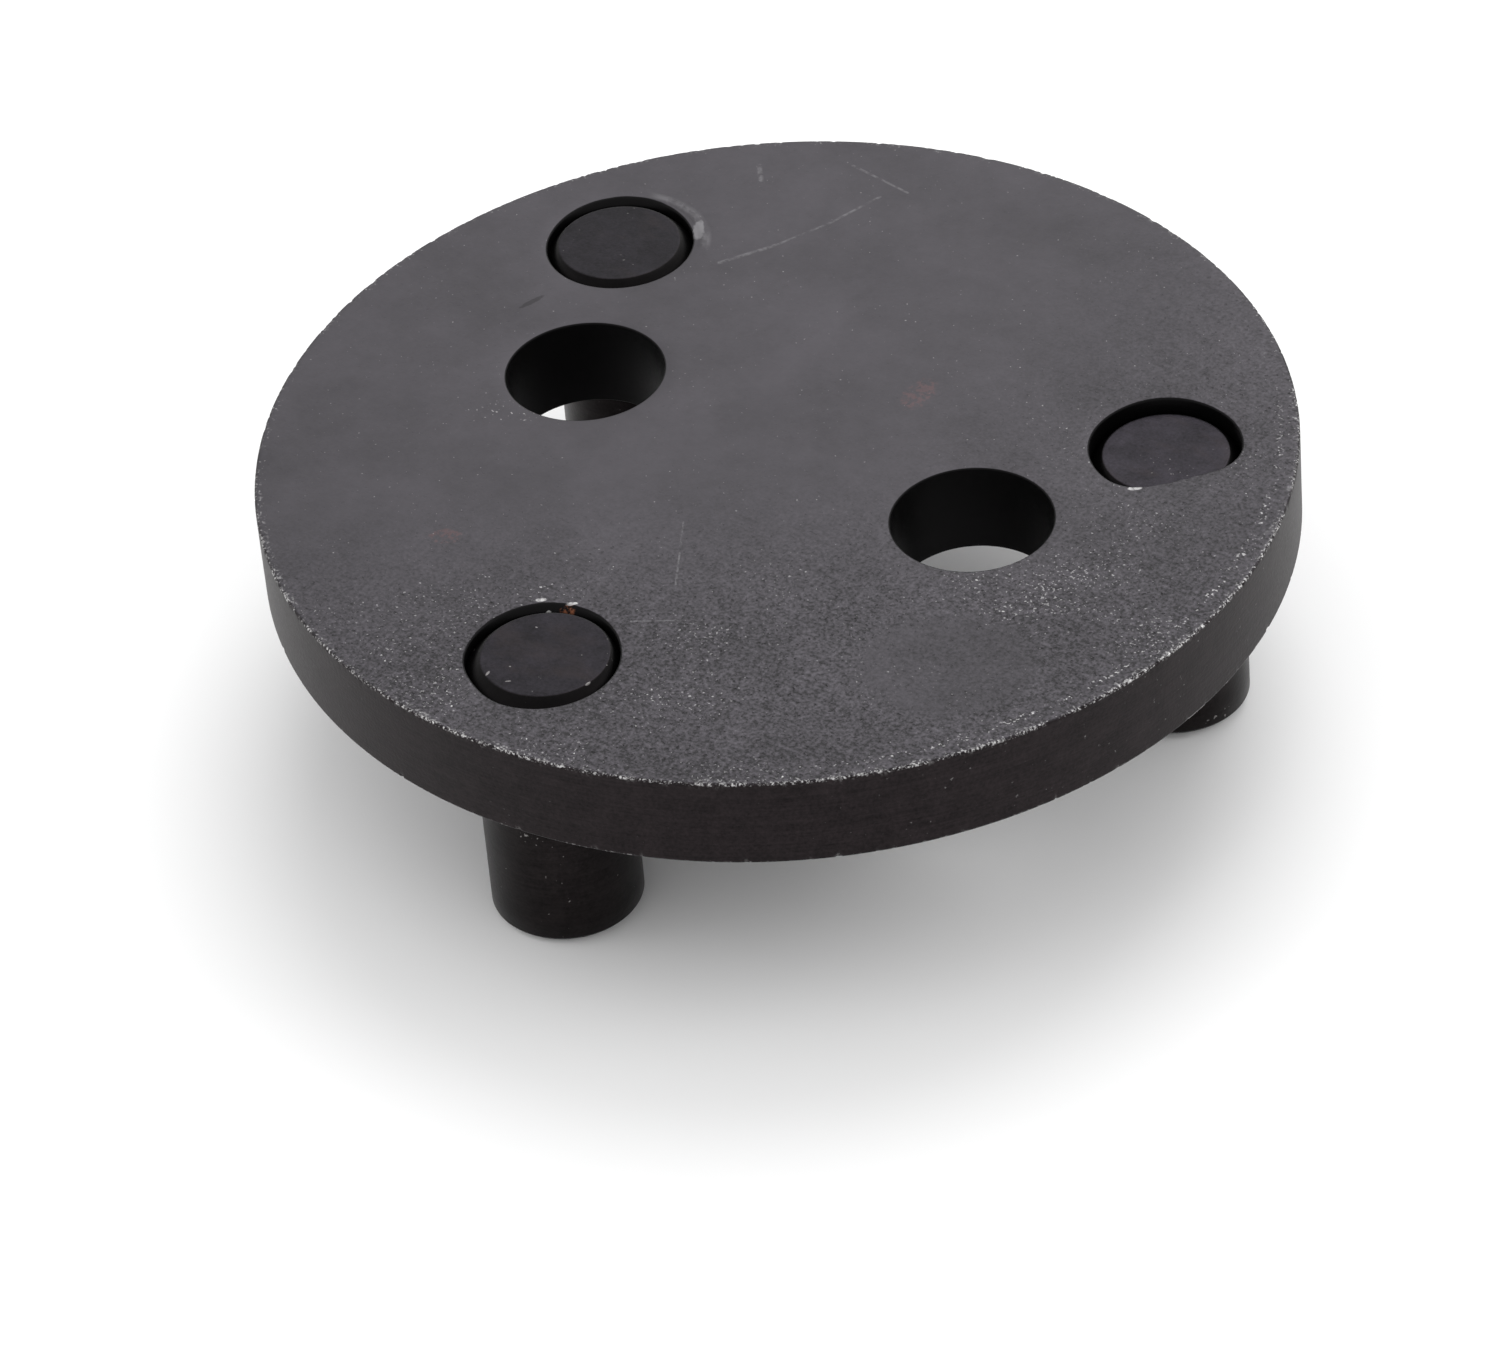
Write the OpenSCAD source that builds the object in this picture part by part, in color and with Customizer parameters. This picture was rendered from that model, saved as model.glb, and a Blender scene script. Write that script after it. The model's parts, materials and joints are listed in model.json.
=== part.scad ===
// Round drive plate: a flat steel disc with two plain bolt holes and three
// dowel pins pressed through it. Millimetres, +Z up, the pins point down.

/* [Plate] */
// Outer diameter of the round plate
plate_d = 55; // [52:0.5:70]
// Thickness of the plate
plate_t = 5.2; // [4:0.1:8]
// Width of the broken edge round both rims
rim_break = 0.3; // [0.1:0.05:0.6]

/* [Bolt holes] */
// Nominal diameter of the two bolts
bolt_d = 8; // [5:0.5:10]
// Clearance of a bolt in its hole, on the diameter
bolt_clearance = 0.5; // [0.1:0.1:0.6]
// Distance between the two bolt holes, centre to centre
bolt_spacing = 25; // [16:0.5:32]
// Width of the broken edge at both mouths of a bolt hole
bolt_hole_break = 0.15; // [0.05:0.05:0.3]

/* [Drive pins] */
// Diameter of each pin
pin_d = 8; // [6:0.5:10]
// Length of each pin
pin_len = 16; // [12:0.5:30]
// Diameter of the circle the pins stand on
pin_circle_d = 41; // [35:0.25:43]
// Chamfer on the head end of a pin, flush with the plate's top
pin_head_chamfer = 0.6; // [0.2:0.1:0.9]
// Chamfer on the free end of a pin
pin_tip_chamfer = 0.4; // [0.2:0.1:0.9]
// How much a pin is larger than its hole before it is pressed in, on the diameter
pin_press_bite = 0.02; // [0.01:0.005:0.04]
// Width of the broken edge at both mouths of a pin hole
pin_hole_break = 0.1; // [0.05:0.05:0.25]
// How far the first pin is driven below the plate's top
pin_1_sink = 0; // [0:0.1:1]
// How far the second pin is driven below the plate's top
pin_2_sink = 0; // [0:0.1:1]
// How far the third pin is driven below the plate's top
pin_3_sink = 0.6; // [0:0.1:1]

/* [Hidden] */
$fn = 128;
cut = 1;
bolt_hole_d = bolt_d + bolt_clearance;
pin_hole_d = pin_d - pin_press_bite;
pin_sinks = [pin_1_sink, pin_2_sink, pin_3_sink];
pin_count = len(pin_sinks);
pin_angles = [for (i = [0 : pin_count - 1]) 150 + i * 360 / pin_count];
top_z = pin_len + max(pin_sinks);
bottom_z = top_z - plate_t;
steel_dark = [0.28, 0.28, 0.30];
pin_dark = [0.16, 0.15, 0.16];

function pin_x(i) = pin_circle_d / 2 * cos(pin_angles[i]);
function pin_y(i) = pin_circle_d / 2 * sin(pin_angles[i]);

// Cutter for a plain hole right through the plate, both mouths broken
module through_hole(d, edge) {
    r = d / 2;
    rotate_extrude()
        polygon([
            [0, bottom_z - cut],
            [r + edge + cut, bottom_z - cut],
            [r, bottom_z + edge],
            [r, top_z - edge],
            [r + edge + cut, top_z + cut],
            [0, top_z + cut]
        ]);
}

// Disc with broken rims, two bolt holes and the press-fit holes
module plate() {
    r = plate_d / 2;
    color(steel_dark)
        difference() {
            rotate_extrude()
                polygon([
                    [0, bottom_z],
                    [r - rim_break, bottom_z],
                    [r, bottom_z + rim_break],
                    [r, top_z - rim_break],
                    [r - rim_break, top_z],
                    [0, top_z]
                ]);
            for (side = [-1, 1])
                translate([side * bolt_spacing / 2, 0, 0])
                    through_hole(bolt_hole_d, bolt_hole_break);
            for (i = [0 : pin_count - 1])
                translate([pin_x(i), pin_y(i), 0])
                    through_hole(pin_hole_d, pin_hole_break);
        }
}

// Dowel pin i, chamfered at both ends, standing out of the plate's underside.
// The stretch inside the plate is drawn squeezed to the size of its hole.
module drive_pin(i) {
    r = pin_d / 2;
    pressed_r = pin_hole_d / 2;
    head_z = top_z - pin_sinks[i];
    tip_z = head_z - pin_len;
    color(pin_dark)
        translate([pin_x(i), pin_y(i), 0])
            rotate_extrude()
                polygon([
                    [0, tip_z],
                    [r - pin_tip_chamfer, tip_z],
                    [r, tip_z + pin_tip_chamfer],
                    [r, bottom_z],
                    [pressed_r, bottom_z],
                    [pressed_r, head_z - pin_head_chamfer],
                    [pressed_r - pin_head_chamfer, head_z],
                    [0, head_z]
                ]);
}

plate();
for (i = [0 : pin_count - 1])
    drive_pin(i);
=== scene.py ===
import json
import math
import random

import bmesh
import bpy
from mathutils import Matrix, Vector, noise


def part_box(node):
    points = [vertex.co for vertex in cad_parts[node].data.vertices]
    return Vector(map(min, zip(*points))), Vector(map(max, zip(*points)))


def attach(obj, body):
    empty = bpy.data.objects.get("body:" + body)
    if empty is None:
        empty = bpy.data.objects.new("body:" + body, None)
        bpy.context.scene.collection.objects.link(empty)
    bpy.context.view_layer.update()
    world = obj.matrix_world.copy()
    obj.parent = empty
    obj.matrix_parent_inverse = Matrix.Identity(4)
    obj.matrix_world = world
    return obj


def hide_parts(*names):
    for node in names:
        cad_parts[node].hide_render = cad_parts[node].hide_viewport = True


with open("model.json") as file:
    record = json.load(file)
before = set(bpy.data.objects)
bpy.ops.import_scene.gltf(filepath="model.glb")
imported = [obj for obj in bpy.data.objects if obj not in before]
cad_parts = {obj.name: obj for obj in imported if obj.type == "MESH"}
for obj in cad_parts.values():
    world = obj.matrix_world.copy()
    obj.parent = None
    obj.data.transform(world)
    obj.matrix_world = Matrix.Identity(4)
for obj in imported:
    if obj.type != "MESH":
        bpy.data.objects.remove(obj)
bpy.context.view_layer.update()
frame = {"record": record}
mounts = {m["name"]: m for m in frame["record"]["mounts"]}
scene = bpy.context.scene
print("frame loaded")

metre = 1000.0                                  # meshes are shaped in millimetres, then scaled
plateLow, plateHigh = (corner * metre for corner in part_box("plate"))
plateRadius = (plateHigh.x - plateLow.x) / 2
topZ, underZ = plateHigh.z, plateLow.z
pinNames = ["drive_pin_1", "drive_pin_2", "drive_pin_3"]


def pinPlace(name):
    low, high = (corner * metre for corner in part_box(name))
    return (low + high) / 2, low.z, high.z, (high.x - low.x) / 2


# ---- camera ----

camera = {
    "azimuth": 38.9,
    "elevation": 39.39,
    "roll": -5.16,
    "distance": 0.3709,
    "lens": 169.4,
    "aimRight": 0.00134,                        # how far the plate's centre stands off the aim
    "aimUp": 0.0120,
}


def addCamera():
    a, e, roll = (math.radians(camera[key]) for key in ("azimuth", "elevation", "roll"))
    back = Vector((math.sin(a) * math.cos(e), -math.cos(a) * math.cos(e), math.sin(e)))
    level = Vector((math.cos(a), math.sin(a), 0))
    rise = back.cross(level)
    right = level * math.cos(roll) + rise * math.sin(roll)
    up = rise * math.cos(roll) - level * math.sin(roll)
    aim = Vector((0, 0, topZ / metre)) - right * camera["aimRight"] - up * camera["aimUp"]
    data = bpy.data.cameras.new("viewCamera")
    data.lens = camera["lens"]
    data.sensor_width = 36
    data.clip_start, data.clip_end = 0.01, 20
    item = bpy.data.objects.new("viewCamera", data)
    turn = Matrix((right, up, back)).transposed().to_4x4()
    item.matrix_world = Matrix.Translation(aim + back * camera["distance"]) @ turn
    scene.collection.objects.link(item)
    scene.camera = item


addCamera()
print("camera set")


# ---- shader sockets as values ----

class Value:
    # a socket that can be used in sums; every other node comes from make()
    def __init__(self, tree, socket=None):
        self.tree = tree
        self.socket = socket

    def make(self, kind, settings, inputs, output=0):
        node = self.tree.nodes.new("ShaderNode" + kind)
        for name, setting in settings.items():
            if name == "stops":
                self.setStops(node.color_ramp, setting)
            else:
                setattr(node, name, setting)
        for name, value in inputs.items():
            if isinstance(value, Value):
                self.tree.links.new(value.socket, node.inputs[name])
            else:
                node.inputs[name].default_value = value
        return Value(self.tree, node.outputs[output] if node.outputs else None)

    def setStops(self, ramp, stops):
        while len(ramp.elements) < len(stops):
            ramp.elements.new(0.5)
        for element, (place, colour) in zip(ramp.elements, stops):
            element.position = place
            element.color = (*colour, 1)

    def other(self, output):
        return Value(self.tree, self.socket.node.outputs[output])

    def math(self, operation, *values):
        return self.make("Math", {"operation": operation}, dict(enumerate(values)))

    def __add__(self, other):
        return self.math("ADD", self, other)

    def __radd__(self, other):
        return self.math("ADD", other, self)

    def __sub__(self, other):
        return self.math("SUBTRACT", self, other)

    def __rsub__(self, other):
        return self.math("SUBTRACT", other, self)

    def __mul__(self, other):
        return self.math("MULTIPLY", self, other)

    def __rmul__(self, other):
        return self.math("MULTIPLY", other, self)

    def __truediv__(self, other):
        return self.math("DIVIDE", self, other)

    def __pow__(self, other):
        return self.math("POWER", self, other)

    def __rtruediv__(self, other):
        return self.math("DIVIDE", other, self)

    def __rpow__(self, other):
        return self.math("POWER", other, self)

    def __gt__(self, other):
        return self.math("GREATER_THAN", self, other)

    def __lt__(self, other):
        return self.math("LESS_THAN", self, other)

    def most(self, other):
        return self.math("MAXIMUM", self, other)

    def least(self, other):
        return self.math("MINIMUM", self, other)

    def size(self):
        return self.math("ABSOLUTE", self)

    def root(self):
        return self.math("SQRT", self)

    def ease(self, low, high):
        # 0 below low, 1 above high, smooth between; low may be the larger
        return self.make("MapRange", {"interpolation_type": "SMOOTHSTEP"},
                         {"Value": self, "From Min": low, "From Max": high})

    def grain(self, scale, detail=2.0, rough=0.5, output="Fac"):
        # noise with features about 1 / scale millimetres across, from 0 to 1
        return self.make("TexNoise", {}, {"Vector": self, "Scale": scale, "Detail": detail,
                                          "Roughness": rough}, output)

    def cells(self, scale, output="Distance"):
        return self.make("TexVoronoi", {}, {"Vector": self, "Scale": scale}, output)

    def tint(self, colour):
        # a colour made lighter or darker by this value
        return self.make("VectorMath", {"operation": "SCALE"}, {0: colour, "Scale": self})

    def blend(self, first, second):
        # self is the share of second; both are colours
        return self.make("Mix", {"data_type": "RGBA"}, {0: self, 6: first, 7: second}, 2)

    def shift(self, offset):
        return self.make("VectorMath", {"operation": "ADD"}, {0: self, 1: offset})

    def stretch(self, factors):
        return self.make("VectorMath", {"operation": "MULTIPLY"}, {0: self, 1: factors})

    def split(self):
        x = self.make("SeparateXYZ", {}, {0: self})
        return x, x.other(1), x.other(2)


def newMaterial(name):
    material = bpy.data.materials.new(name)
    material.use_nodes = True
    tree = material.node_tree
    tree.nodes.clear()
    start = Value(tree)
    place = start.make("TexCoord", {}, {}, "Object").stretch((metre, metre, metre))
    return material, start, place


def finishMaterial(start, colour, rough, metal, height, strength, distance):
    # height is in millimetres, and the bump turns it into a normal
    bump = start.make("Bump", {}, {"Height": height, "Strength": strength, "Distance": distance})
    surface = start.make("BsdfPrincipled", {}, {
        "Base Color": colour, "Roughness": rough, "Metallic": metal, "Normal": bump})
    start.make("OutputMaterial", {}, {"Surface": surface})


def scratchMask(place, start, end, width):
    # 1 along the line from start to end, in millimetres, fading across the width
    run = Vector(end) - Vector(start)
    offset = place.shift((-start[0], -start[1], 0)).stretch((1, 1, 0))
    along = offset.make("VectorMath", {"operation": "DOT_PRODUCT"},
                        {0: offset, 1: (run.x, run.y, 0)}, 1) / run.length_squared
    along = along.most(0).least(1)
    foot = along.make("CombineXYZ", {}, {0: along * run.x, 1: along * run.y})
    away = foot.make("VectorMath", {"operation": "DISTANCE"}, {0: offset, 1: foot}, 1)
    return away.ease(width, width * 0.3)


def spotMask(place, centre, sizes, turn, ragged=0.0):
    # 1 in a turned ellipse on the top face, with an uneven outline if ragged
    c, s = math.cos(math.radians(turn)), math.sin(math.radians(turn))
    x, y, _ = place.shift((-centre[0], -centre[1], 0)).split()
    u = (x * c + y * s) / sizes[0]
    v = (y * c - x * s) / sizes[1]
    reach = u * u + v * v
    if ragged:
        reach = reach + (place.grain(4.0, 2.0) - 0.5) * ragged
    return reach.ease(1.4, 0.6)


def arcMask(place, centre, radius, width, middle, spread):
    # 1 along a stretch of a circle, with its middle and half its spread in degrees
    x, y, _ = place.shift((-centre[0], -centre[1], 0)).split()
    away = (x * x + y * y).root()
    m = math.radians(middle)
    facing = (x * math.cos(m) + y * math.sin(m)) / away.most(0.01)
    edge = math.cos(math.radians(spread))
    return (away - radius).size().ease(width, width * 0.2) * facing.ease(edge, (1 + edge) / 2)


# ---- plate finish ----

plateFinish = {
    "top": (0.0440, 0.0405, 0.0465),
    # the rim wall is painted darker than the top and the bores near black, as painted shade
    "wall": (0.0150, 0.0115, 0.0124),
    "bore": (0.0045, 0.0042, 0.0045),
    # a lighter stretch of one bore's wall, a painted highlight
    "scuffedBore": (0.020, 0.0185, 0.0195),
    "bright": (0.62, 0.61, 0.61),
    "dull": (0.26, 0.255, 0.265),
    "rust": (0.30, 0.11, 0.055),
    "pink": (0.13, 0.062, 0.060),
    "metal": 0.70,
    "wallMetal": 0.90,
    "rough": 0.50,
    "front": (0.628, -0.778),                   # the grain and wear are heaviest on this side
    # start, end and width of each scratch on the top face, in millimetres
    "scratches": [
        ((-7.9, 21.0), (-8.9, 17.6), 0.13),
        ((-8.9, 17.6), (-10.3, 14.4), 0.12),
        ((-10.3, 14.4), (-12.0, 11.6), 0.18),
        ((-10.9, 22.7), (-6.8, 22.1), 0.12),
        ((-15.4, 20.1), (-14.5, 19.0), 0.20),
        ((-0.3, -7.8), (2.4, -12.2), 0.09),
        ((2.2, -15.8), (4.4, -14.4), 0.09),
        ((-12.2, -0.6), (-9.6, -2.6), 0.09),
        ((25.2, 10.4), (25.0, 11.3), 0.14),
        ((26.2, 7.3), (26.15, 6.2), 0.16),
    ],
    # centre, half sizes and turn of each mark
    "darkSpots": [((-18.75, 3.55), (0.80, 0.17), 73)],
    "pinkSpots": [((4.1, 7.4), (0.75, 1.3), 8), ((-10.3, -15.1), (0.8, 0.6), 30)],
    "rustSpots": [((-1.30, -16.62), (0.42, 0.26), 40)],
    "brightSpots": [
        ((18.32, 6.47), (0.38, 0.16), 39),
        ((-2.85, -16.78), (0.30, 0.14), 36),
        ((-1.30, -16.22), (0.30, 0.12), 36),
        ((-2.15, -17.10), (0.14, 0.09), 36),
    ],
    "paleSpots": [((-14.80, 13.50), (0.17, 0.42), 33), ((-14.75, 13.45), (0.30, 0.85), 33)],
    "speckSpots": [
        ((21.9, 10.9), (0.9, 1.1), 20),
        ((-7.2, -18.5), (1.0, 0.8), 40),
        ((-6.7, -16.7), (0.5, 0.4), 40),
        ((-10.2, -22.0), (1.2, 0.7), 30),
        ((20.4, 0.6), (2.0, 2.4), 60),
        ((-7.0, -20.0), (3.0, 2.0), 30),
        ((8.0, -18.5), (3.5, 2.0), 20),
        ((-13.5, -4.5), (2.6, 1.0), 30),
        ((12.0, 8.7), (0.7, 0.3), 39),
        ((22.9, 5.1), (0.7, 0.3), 39),
    ],
    "calm": ((18.0, -10.5), (4.6, 4.0), 30),    # the grain is fainter here
    "halo": ((-17.75, 10.25), 4.66, 0.40, 66, 44),
    # where that bore wall is painted lighter: centre, radius, width, middle and spread
    "scuff": ((17.75, 10.25), 4.0, 0.5, 28, 34),
}


def anyOf(masks):
    total = masks[0]
    for mask in masks[1:]:
        total = total.most(mask)
    return total


def plateMaterial():
    f = plateFinish
    material, start, place = newMaterial("blackenedPlate")
    x, y, z = place.split()
    radius = (x * x + y * y).root()
    side = start.make("Attribute", {"attribute_name": "side"}, {}, "Fac")
    flat = 1 - side
    onTop = flat * (z > topZ - 1)
    onRim = side * (radius > plateRadius - 1)
    nearTop = (z > topZ - 0.36) * (radius < plateRadius - 1)
    forward = x * f["front"][0] + y * f["front"][1]
    zone = forward.ease(-12, 15)

    # a fine pebbled grain, strong towards the front and right, faint at the back left
    fine = place.grain(5.0, 2.0, 0.6)
    grit = place.grain(2.5, 2.0, 0.55)
    mottle = place.grain(0.75, 3.0, 0.6)
    cloud = place.grain(0.12, 2.0)
    calm = spotMask(place, *f["calm"]) * onTop
    strength = forward.ease(1, 17).most(x.ease(2, 24) * 0.72) * (1 - calm * 0.60) * 1.02 + 0.14
    # the top is also painted darker towards the front and the right, a painted shade gradient
    tone = ((fine - 0.5) * 2.3 + (grit - 0.5) * 1.4) * strength + (mottle - 0.5) * 0.28 - zone * 0.10
    tone = tone - forward.ease(8, 22) * 0.12 - (x + y).ease(8, 30) * 0.08
    blotch = place.shift((0, 0, 5)).grain(0.38, 2.0, 0.5)
    tone = (tone + (cloud - 0.5) * 0.55 + (blotch - 0.5) * 0.30 + 1).most(0.25)
    pits = place.grain(3.8, 1.0).ease(0.34, 0.26) * strength * flat
    top = (tone * (1 - pits * 0.55)).tint(f["top"])

    # small painted glints and sparkles, thickest in patches towards the front
    patch = place.shift((40, 0, 0)).grain(0.20, 3.0, 0.6)
    crowd = strength * ((patch - 0.5) * 0.42 + 0.055) - 0.05
    glints = (place.shift((0, 30, 0)).grain(5.6, 1.0) + crowd).ease(0.70, 0.78)
    sparks = (place.shift((0, 0, 30)).grain(3.6, 1.0) + crowd).ease(0.80, 0.86)
    grains = place.shift((9, 9, 9)).grain(5.0, 1.0)
    near = anyOf([spotMask(place, *spot, 1.5) for spot in f["speckSpots"]])
    glintClusters = (grains + near * 0.12 + (patch - 0.5) * 0.10).ease(0.77, 0.89)

    # the corner of the rim is bare in a fine broken line, wider at the front left, and this bright line is partly a
    # painted edge highlight
    fromTop = ((plateRadius - radius) ** 2 + (z - topZ) ** 2).root()
    fromUnder = ((plateRadius - radius) ** 2 + (z - underZ) ** 2).root()
    clumps = place.grain(0.50, 3.0, 0.7)
    crumbs = place.grain(5.5, 2.0, 0.6)
    wearAndGlintHere = zone * 0.13 + (clumps - 0.5) * 1.1 - 0.12
    dots = place.shift((3, 3, 3)).grain(7.5, 2.0, 0.6).ease(0.45, 0.64)
    rimLine = fromTop.ease(0.19, 0.05) * (crumbs + wearAndGlintHere + zone * 0.05).ease(0.42, 0.62) * dots
    left = (0 - x).ease(9, 21) * zone
    rimBand = fromTop.ease(0.55, 0.10) * (grains + wearAndGlintHere * 0.45 + left * 0.12).ease(0.58, 0.74)
    lowLine = fromUnder.ease(0.18, 0.05) * (crumbs + wearAndGlintHere).ease(0.57, 0.72)
    right = x.ease(10, 22) * zone
    inset = (plateRadius - 1.05 - radius).size().ease(0.30, 0.08)
    innerLine = inset * right * (grains + (clumps - 0.5) * 0.5).ease(0.60, 0.72) * onTop
    scores = (place.grain(3.6, 2.0, 0.6) + (clumps - 0.5) * 0.5 + right * 0.05).ease(0.76, 0.88) * onRim

    # the wear attribute is 1 where the mesh is nicked
    worn = start.make("Attribute", {"attribute_name": "wear"}, {}, "Fac") * crumbs.ease(0.45, 0.62)
    broken = place.grain(1.6, 3.0, 0.7).ease(0.36, 0.62)
    marks = anyOf([scratchMask(place, *line) for line in f["scratches"]]) * broken * onTop
    halo = arcMask(place, *f["halo"]) * onTop * (mottle.ease(0.35, 0.60) * 0.7 + 0.3)
    nicks = anyOf([spotMask(place, *spot, 1.6) for spot in f["brightSpots"]]) * nearTop
    nicks = nicks * (crumbs.ease(0.30, 0.55) * 0.6 + 0.4)
    # bright where the metal is bare, and painted glints and sparkles where it only catches light
    bareAndGlints = anyOf([glints * 0.24 * flat, sparks * 0.50 * flat, glintClusters * 0.32 * onTop, rimLine * 0.88,
                  rimBand * 0.32 * flat, lowLine * 0.50, innerLine * 0.42, worn * 0.38, nicks * 0.52,
                  scores * 0.22])

    # the turned rim is painted darker and browner than the flats, a painted shade and reflection of dark
    # surroundings, and the bores are painted black as shade
    lines = place.stretch((0.12, 0.12, 8.0)).grain(1.0, 3.0, 0.6)
    wallTone = (lines - 0.5) * 0.9 + (fine - 0.5) * 1.6 + (mottle - 0.5) * 1.0 + 1
    wall = wallTone.most(0.3).tint(f["wall"])
    # a stretch of the bore wall near the top is painted lighter, a painted highlight
    scuff = arcMask(place, *f["scuff"]) * (z > topZ - 0.5) * (z < topZ - 0.07)
    bore = scuff.blend((*f["bore"], 1), (*f["scuffedBore"], 1))
    colour = flat.blend((radius > plateRadius - 1).blend(bore, wall), top)
    for key, shade, amount in (("darkSpots", "bore", 0.55), ("pinkSpots", "pink", 0.30),
                               ("rustSpots", "rust", 0.60), ("paleSpots", "dull", 0.42)):
        mask = anyOf([spotMask(place, *spot, 1.6) for spot in f[key]]) * nearTop
        if shade in ("pink", "rust"):
            mask = mask * place.grain(3.6, 3.0, 0.7).ease(0.42, 0.60)
        colour = (mask * amount).blend(colour, (*f[shade], 1))
    colour = (marks * 0.24).most(halo * 0.17).blend(colour, (*f["dull"], 1))
    colour = bareAndGlints.blend(colour, (*f["bright"], 1))

    rough = (fine - 0.5) * 0.15 + f["rough"] - bareAndGlints * 0.15
    metal = side * (f["wallMetal"] - f["metal"]) + f["metal"]
    metal = metal.most(bareAndGlints)
    height = (fine * 0.014 + grit * 0.016) * strength * flat + mottle * 0.010 * flat
    height = height + (lines * 0.006 + fine * 0.010) * onRim
    height = height + sparks * 0.02 * flat - marks * 0.015 + halo * 0.05 - pits * 0.02
    finishMaterial(start, colour, rough, metal, height, 1.0, 1.0 / metre)
    return material


# ---- pin finish ----

pinFinish = {
    "face": (0.0150, 0.0132, 0.0168),
    "side": (0.0125, 0.0102, 0.0104),
    # near black on the chamfers, a painted shade for the dark gap round each head
    "chamfer": (0.0028, 0.0026, 0.0028),
    "bright": (0.50, 0.48, 0.47),
    "stain": (0.0230, 0.0175, 0.0180),
    "faceTone": {"drive_pin_1": 0.60, "drive_pin_2": 0.74, "drive_pin_3": 1.05},
    "metal": 0.95,
    "rough": 0.42,
    # bare specks on the second pin's head: centre, half sizes and turn
    "nicks": [
        ((-1.63, -22.94), (0.20, 0.07), 100),
        ((-0.36, -22.90), (0.16, 0.05), 39),
        ((-0.98, -21.91), (0.06, 0.05), 0),
        ((-1.71, -18.69), (0.07, 0.05), 0),
        ((3.25, -20.95), (0.17, 0.06), 80),
    ],
}


def pinMaterial(name, centre, lowZ, highZ, radius):
    f = pinFinish
    material, start, place = newMaterial(name + "Steel")
    local = place.shift((-centre.x, -centre.y, 0))
    x, y, z = local.split()
    part = start.make("Attribute", {"attribute_name": "part"}, {}, "Fac")
    onFace = part.ease(0.75, 1.0)               # 1 on the two ends, 0.5 on their chamfers, 0 on the side
    onChamfer = (part - 0.5).size().ease(0.5, 0.1)
    fine = place.grain(6.0, 3.0, 0.6)
    mottle = place.grain(0.7, 3.0, 0.65)
    tone = (fine - 0.5) * 1.9 + (mottle - 0.5) * 1.7 + 1
    face = (tone.most(0.3) * f["faceTone"][name]).tint(f["face"])
    stain = place.stretch((0.6, 1.3, 1)).grain(0.45, 3.0, 0.6).ease(0.50, 0.70)
    face = (stain * 0.35).blend(face, (*f["stain"], 1))
    lines = local.stretch((0.15, 0.15, 7.0)).grain(1.0, 3.0, 0.6)
    tone = (lines - 0.5) * 0.9 + (mottle - 0.5) * 1.8 + (fine - 0.5) * 1.2 + 1
    side = tone.most(0.3).tint(f["side"])
    colour = onFace.blend(side, face)
    # both ends' chamfers are painted near black, a painted shade
    colour = (onChamfer * 0.85).blend(colour, (*f["chamfer"], 1))
    nicks = anyOf([spotMask(place, *spot, 0.8) for spot in f["nicks"]]) * (z > highZ - 0.5) * 0.5
    specks = (place.grain(4.0, 1.0) + (place.grain(0.4, 2.0) - 0.5) * 0.5).ease(0.78, 0.84)
    specks = (specks * (1 - onFace * 0.7)).most(nicks)
    colour = (specks * 0.45).blend(colour, (*f["bright"], 1))
    rough = (fine - 0.5) * 0.14 + f["rough"] - specks * 0.1
    height = fine * 0.006 + mottle * 0.015 + specks * 0.015
    finishMaterial(start, colour, rough, f["metal"], height, 1.0, 1.0 / metre)
    return material


# ---- meshes ----

def arc(centre, radius, fromAngle, toAngle, count):
    # points from one angle to another, in degrees, both ends included
    angles = [fromAngle + (toAngle - fromAngle) * i / count for i in range(count + 1)]
    return [(centre[0] + radius * math.cos(math.radians(a)),
             centre[1] + radius * math.sin(math.radians(a))) for a in angles]


def ladder(high, low, count):
    return [high + (low - high) * i / count for i in range(1, count)]


def turnRings(bm, points, centre, steps):
    # one ring for each (radius, height) of the profile, each extruded from the last
    radius, z = points[0]
    place = Matrix.Translation((centre[0], centre[1], z))
    ring = bmesh.ops.create_circle(bm, segments=steps, radius=radius, matrix=place)["verts"]
    edges = list({edge for v in ring for edge in v.link_edges})
    made = list(ring)
    home = Matrix.Translation((-centre[0], -centre[1], 0))
    for newRadius, newZ in points[1:]:
        pulled = bmesh.ops.extrude_edge_only(bm, edges=edges)["geom"]
        ring = [g for g in pulled if isinstance(g, bmesh.types.BMVert)]
        edges = [g for g in pulled if isinstance(g, bmesh.types.BMEdge) and g.is_boundary]
        factor = newRadius / radius
        bmesh.ops.scale(bm, vec=(factor, factor, 1), space=home, verts=ring)
        bmesh.ops.translate(bm, vec=(0, 0, newZ - z), verts=ring)
        radius, z = newRadius, newZ
        made += ring
    return made


def fillLevel(bm, level):
    # closes the flat at one height between its outer loop and the holes in it
    loops = [e for e in bm.edges if e.is_boundary and all(abs(v.co.z - level) < 1e-4 for v in e.verts)]
    bmesh.ops.triangle_fill(bm, use_beauty=True, edges=loops)


def finishMesh(name, bm, material, replaced):
    bmesh.ops.remove_doubles(bm, verts=bm.verts, dist=1e-5)
    bmesh.ops.recalc_face_normals(bm, faces=bm.faces)
    bmesh.ops.scale(bm, vec=(1 / metre,) * 3, verts=bm.verts)
    for face in bm.faces:
        face.smooth = True
    mesh = bpy.data.meshes.new(name)
    bm.to_mesh(mesh)
    bm.free()
    mesh.materials.append(material)
    item = bpy.data.objects.new(name, mesh)
    scene.collection.objects.link(item)
    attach(item, "root")
    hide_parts(replaced)
    return item


# ---- plate ----

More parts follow.
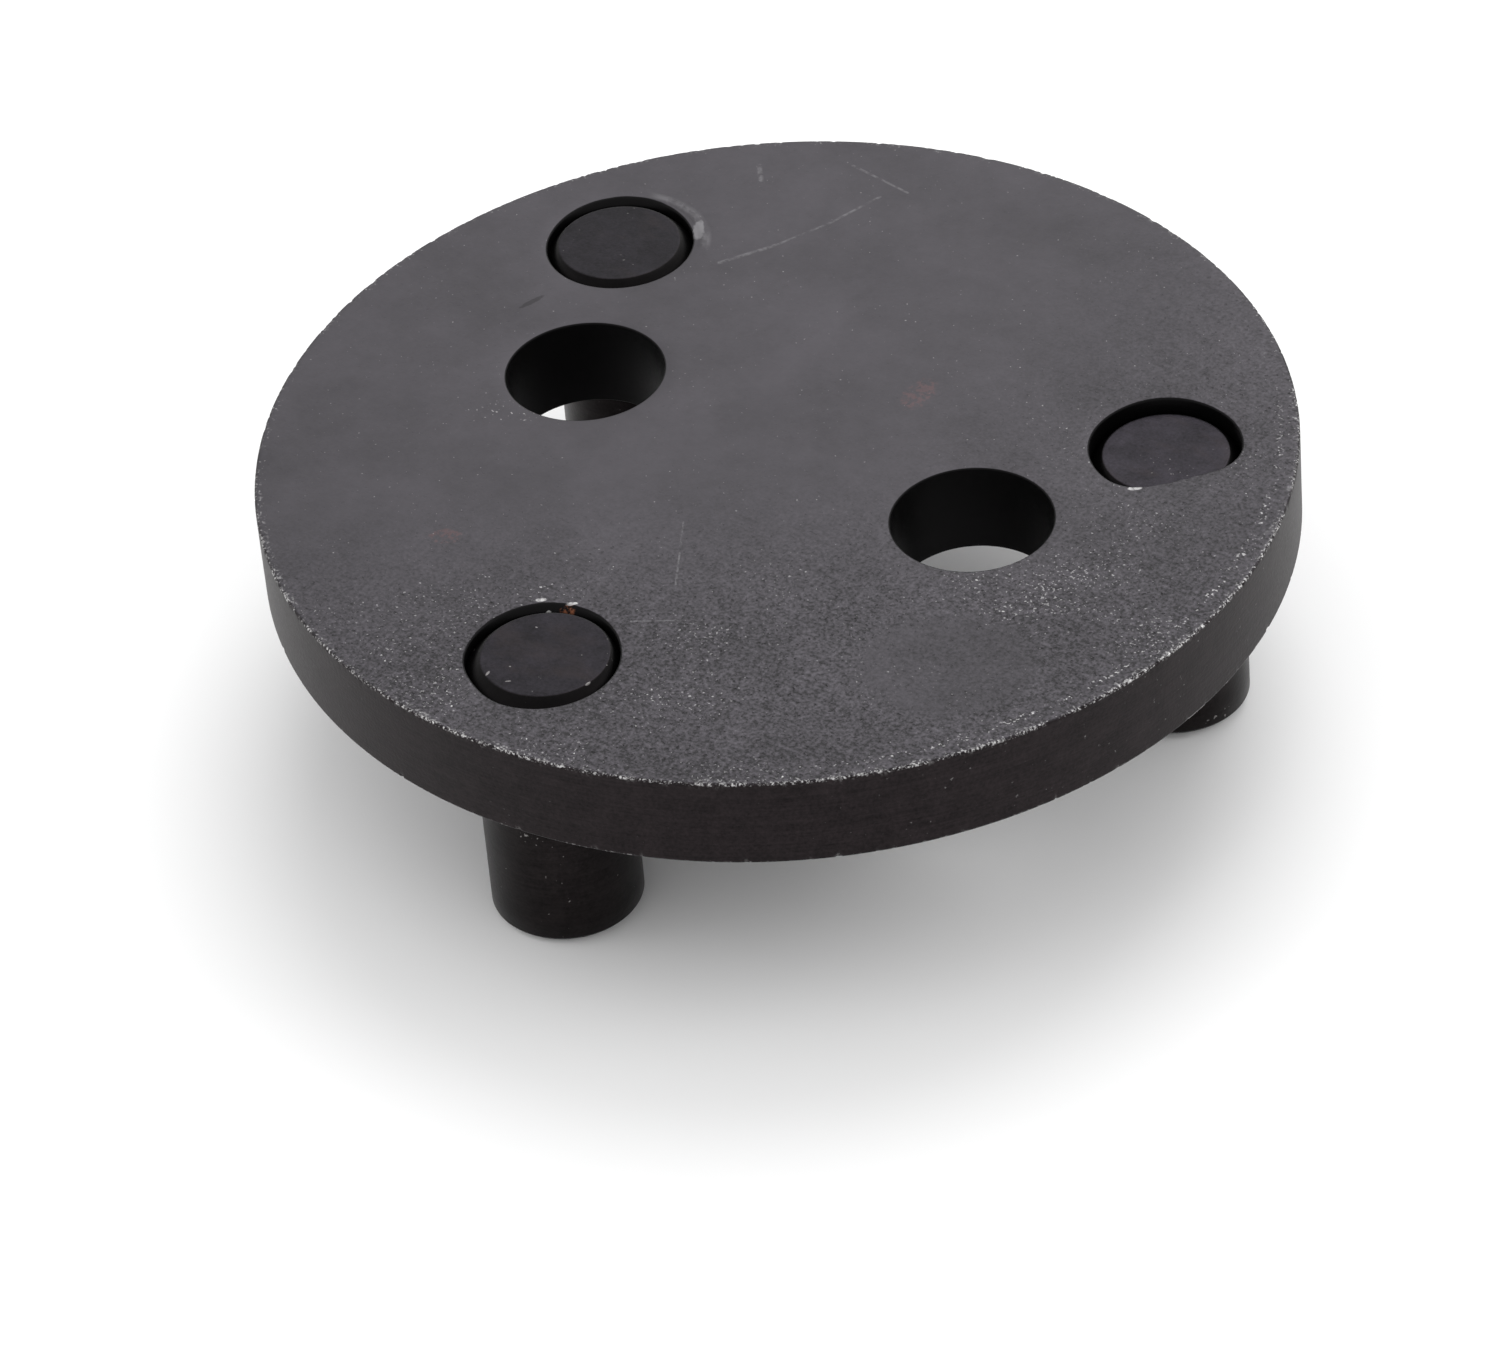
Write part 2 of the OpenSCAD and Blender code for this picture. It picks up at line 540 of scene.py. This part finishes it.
plateShape = {
    "rimRound": 0.13,
    "rimSteps": 1800,
    "holeRound": 0.10,
    "holeSteps": 256,
    "wallRings": 7,
    "nicks": 300,
    "nickWidth": (0.08, 0.38),
    "nickDepth": (0.012, 0.055),
    "seed": 11,
    # how the mouth of each pin hole is off round: direction, half spread and reach outwards
    "mouths": {
        "drive_pin_1": [(128, 75, 0.36)],
        "drive_pin_2": [(122, 85, 0.36), (-118, 35, -0.14)],
        "drive_pin_3": [(-37, 70, -1.06), (123, 50, 0.10)],
    },
    "mouthDepth": 0.30,
}


def nickDepths(rng, count):
    # depth of the wear at each step round a rim, in millimetres
    s = plateShape
    steps = s["rimSteps"]
    stepLength = 2 * math.pi * plateRadius / steps
    depths = [0.0] * steps
    for _ in range(count):
        middle = rng.uniform(0, steps)
        turn = middle / steps * 2 * math.pi
        crowd = noise.noise(Vector((math.cos(turn) * 2.3, math.sin(turn) * 2.3, 4.0)))
        half = rng.uniform(*s["nickWidth"]) * rng.uniform(0.4, 1) / stepLength
        depth = rng.uniform(*s["nickDepth"]) * rng.uniform(0.3, 1) * (1 + 0.8 * crowd)
        for i in range(int(middle - half), int(middle + half) + 2):
            away = abs(i - middle) / half
            if away < 1:
                fall = math.cos(away * math.pi / 2) ** 2
                depths[i % steps] = max(depths[i % steps], depth * fall)
    return depths


def wearRim(verts, wear):
    # nicks the two rims of the plate, the top one more than the lower
    s = plateShape
    rng = random.Random(s["seed"])
    for level, inward, count in ((topZ, -1, s["nicks"]), (underZ, 1, s["nicks"] // 3)):
        depths = nickDepths(rng, count)
        for v in verts:
            r = math.hypot(v.co.x, v.co.y)
            edge = 1 - math.hypot(plateRadius - r, v.co.z - level) / 0.34
            if edge <= 0:
                continue
            turn = math.atan2(v.co.y, v.co.x) / (2 * math.pi) % 1
            depth = depths[int(turn * s["rimSteps"]) % s["rimSteps"]]
            push = depth * (1 + 0.5 * noise.noise(v.co * 5.0)) * min(1.0, edge * 1.6)
            v.co.x *= 1 - push / r
            v.co.y *= 1 - push / r
            v.co.z += inward * push * 0.6
            v[wear] = min(1.0, depth / 0.05 * edge)


def shapeMouth(verts, centre, radius, lobes):
    # a hole's mouth reaches out, or is smeared inwards, over part of its round
    depth = plateShape["mouthDepth"]
    for v in verts:
        low = topZ - v.co.z
        if low > depth + 0.001:
            continue
        out = Vector((v.co.x - centre.x, v.co.y - centre.y, 0))
        turn = math.degrees(math.atan2(out.y, out.x))
        push = 0.0
        for middle, spread, reach in lobes:
            away = (turn - middle + 180) % 360 - 180
            if abs(away) < spread:
                push += reach * math.cos(away / spread * math.pi / 2) ** 2
        push *= 1 + 0.12 * noise.noise(v.co * 1.6)
        past = out.length - radius
        if past > 0.2:                          # rings in the flat follow less the farther out they are
            push *= 0.62 if past < 1.2 else 0.2
        elif push > 0:
            push *= 1 - low / depth * 0.75
        v.co += out.normalized() * push


def buildPlate():
    s = plateShape
    bm = bmesh.new()
    wear = bm.verts.layers.float.new("wear")
    side = bm.verts.layers.float.new("side")
    e = s["rimRound"]
    rim = [(plateRadius - inset, topZ) for inset in (0.90, 0.50, 0.30)]
    rim += arc((plateRadius - e, topZ - e), e, 90, 0, 4)
    rim += [(plateRadius, z) for z in (topZ - 0.20, topZ - 0.30, topZ - 0.50)]
    rim += [(plateRadius, z) for z in ladder(topZ - 0.50, underZ + 0.50, s["wallRings"])]
    rim += [(plateRadius, z) for z in (underZ + 0.50, underZ + 0.30, underZ + 0.20)]
    rim += arc((plateRadius - e, underZ + e), e, 0, -90, 4)
    rim += [(plateRadius - inset, underZ) for inset in (0.30, 0.50, 0.90)]
    rimVerts = turnRings(bm, rim, (0, 0), s["rimSteps"])
    for v in rimVerts:
        v[side] = min(1.0, max(0.0, (math.hypot(v.co.x, v.co.y) - plateRadius + e) / e))
    wearRim(rimVerts, wear)

    def hole(centre, radius):
        rounding = s["holeRound"]
        wall = [(radius + 1.5, topZ), (radius + 1.0, topZ)]
        wall += arc((radius + rounding, topZ - rounding), rounding, 90, 180, 4)
        wall += [(radius, topZ - 0.20), (radius, topZ - 0.30), (radius, topZ - 0.42)]
        wall += [(radius, z) for z in ladder(topZ - 0.42, underZ + 0.42, 5)]
        wall += [(radius, underZ + 0.42)]
        wall += arc((radius + rounding, underZ + rounding), rounding, 180, 270, 4)
        wall += [(radius + 1.0, underZ), (radius + 1.5, underZ)]
        verts = turnRings(bm, wall, centre, s["holeSteps"])
        for v in verts:
            past = math.hypot(v.co.x - centre[0], v.co.y - centre[1]) - radius
            v[side] = 1.0 if past < rounding * 0.75 else 0.0
        return verts

    bolts = mounts["bolt_holes"]["dims"]
    for sign in (-1, 1):
        hole((sign * bolts["spacing_x_mm"] / 2, 0), bolts["hole_r_mm"])
    for name in pinNames:
        centre, _, _, radius = pinPlace(name)
        shapeMouth(hole(centre, radius), centre, radius, s["mouths"][name])
    fillLevel(bm, topZ)
    fillLevel(bm, underZ)
    finishMesh("plateBody", bm, plateMaterial(), "plate")


buildPlate()
print("plate made")


# ---- pins ----

pinShape = {
    "headChamfer": 0.60,
    "tipChamfer": 0.42,
    "cornerRound": 0.07,
    "steps": 160,
    "pressedBy": 0.01,
    # the head's face stands off the middle of the pin by this much, so its chamfer is uneven
    "headShift": {"drive_pin_1": (-0.13, 0.08), "drive_pin_2": (-0.03, 0.30), "drive_pin_3": (-0.10, 0.16)},
}


def chamferEnd(radius, level, size, rounding, inward):
    # a flat end and its chamfer, from the flat to the side, each corner softened
    r = rounding
    points = [(radius - size - r * 2, level), (radius - size - r, level), (radius - size, level + inward * r * 0.4)]
    points += [(radius - size * share, level + inward * size * (1 - share)) for share in (0.75, 0.5, 0.25)]
    points += [(radius - r * 0.4, level + inward * (size - r * 0.1)), (radius, level + inward * (size + r))]
    return points


def buildPin(name):
    s = pinShape
    centre, lowZ, highZ, radius = pinPlace(name)
    inner = radius - s["pressedBy"]
    head = chamferEnd(inner, highZ, s["headChamfer"], s["cornerRound"], -1)
    tip = chamferEnd(radius, lowZ, s["tipChamfer"], s["cornerRound"], 1)
    profile = [(0, highZ), (1.2, highZ), (2.4, highZ)] + head
    profile += [(inner, z) for z in ladder(head[-1][1], underZ, 4)]
    profile += [(inner, underZ + 0.02), (radius, underZ - 0.02)]
    profile += [(radius, z) for z in ladder(underZ, tip[-1][1], 10)]
    profile += tip[::-1] + [(2.4, lowZ), (1.2, lowZ), (0, lowZ)]
    bm = bmesh.new()
    part = bm.verts.layers.float.new("part")
    verts = [bm.verts.new((centre.x + r, centre.y, z)) for r, z in profile]
    edges = [bm.edges.new(pair) for pair in zip(verts, verts[1:])]
    bmesh.ops.spin(bm, geom=verts + edges, cent=(centre.x, centre.y, 0), axis=(0, 0, 1),
                   angle=2 * math.pi, steps=s["steps"], use_merge=True)
    shift = Vector((*s["headShift"][name], 0))
    for v in bm.verts:
        fromEnd = min(highZ - v.co.z, v.co.z - lowZ)
        reach = s["headChamfer"] if highZ - v.co.z < 1 else s["tipChamfer"]
        v[part] = 1.0 if fromEnd < 0.001 else 0.5 if fromEnd < reach else 0.0
        v.co += shift * max(0.0, 1 - (highZ - v.co.z) / s["headChamfer"])
    material = pinMaterial(name, centre, lowZ, highZ, radius)
    finishMesh(name + "Body", bm, material, name)


for pinName in pinNames:
    buildPin(pinName)
print("pins made")


# ---- floor, lights and world ----

stage = {
    "floorSize": 8.0,
    "floorColour": (0.90, 0.90, 0.90),
    "worldColour": (1.0, 1.0, 1.0),
    "world": 1.05,
}

# azimuth and elevation of each light round the object, distance and size in metres
lights = {
    "backKey": {"azimuth": 200, "elevation": 52, "distance": 0.80, "size": 0.60, "power": 2.6},
    "leftSoft": {"azimuth": -50, "elevation": 30, "distance": 0.90, "size": 0.40, "power": 0.6},
    "rightSoft": {"azimuth": 125, "elevation": 30, "distance": 0.90, "size": 0.40, "power": 0.9},
}


def addFloor():
    # the floor touches the tips of all three pins
    tips = []
    for name in pinNames:
        centre, lowZ, _, radius = pinPlace(name)
        tips.append(Vector((centre.x, centre.y, lowZ)) / metre)
    normal = (tips[1] - tips[0]).cross(tips[2] - tips[0]).normalized()
    if normal.z < 0:
        normal.negate()
    turn = Vector((0, 0, 1)).rotation_difference(normal).to_matrix().to_4x4()
    bm = bmesh.new()
    lean = (radius / metre) * math.hypot(normal.x, normal.y)      # the edge of a level tip is this far down
    place = Matrix.Translation(sum(tips, Vector()) / 3 - normal * lean) @ turn
    bmesh.ops.create_grid(bm, x_segments=1, y_segments=1, size=stage["floorSize"] / 2, matrix=place)
    mesh = bpy.data.meshes.new("floor")
    bm.to_mesh(mesh)
    bm.free()
    material = bpy.data.materials.new("paleFloor")
    material.use_nodes = True
    tree = material.node_tree
    tree.nodes.clear()
    start = Value(tree)
    pale = start.make("BsdfDiffuse", {}, {"Color": (*stage["floorColour"], 1)})
    start.make("OutputMaterial", {}, {"Surface": pale})
    mesh.materials.append(material)
    floor = bpy.data.objects.new("floor", mesh)
    scene.collection.objects.link(floor)


def addLight(name, spec):
    a, e = math.radians(spec["azimuth"]), math.radians(spec["elevation"])
    toward = Vector((math.sin(a) * math.cos(e), -math.cos(a) * math.cos(e), math.sin(e)))
    data = bpy.data.lights.new(name, "AREA")
    data.shape = "DISK"
    data.size = spec["size"]
    data.energy = spec["power"]
    item = bpy.data.objects.new(name, data)
    aim = Vector((0, 0, topZ / metre))
    item.location = aim + toward * spec["distance"]
    item.rotation_mode = "QUATERNION"
    item.rotation_quaternion = toward.to_track_quat("Z", "Y")
    scene.collection.objects.link(item)


def setWorld():
    world = bpy.data.worlds.new("studio")
    scene.world = world
    world.use_nodes = True
    world.node_tree.nodes.clear()
    start = Value(world.node_tree)
    back = start.make("Background", {}, {"Color": (*stage["worldColour"], 1), "Strength": stage["world"]})
    start.make("OutputWorld", {}, {"Surface": back})
    scene.view_settings.view_transform = "Standard"


addFloor()
for lightName, lightSpec in lights.items():
    addLight(lightName, lightSpec)
setWorld()
print("stage set")
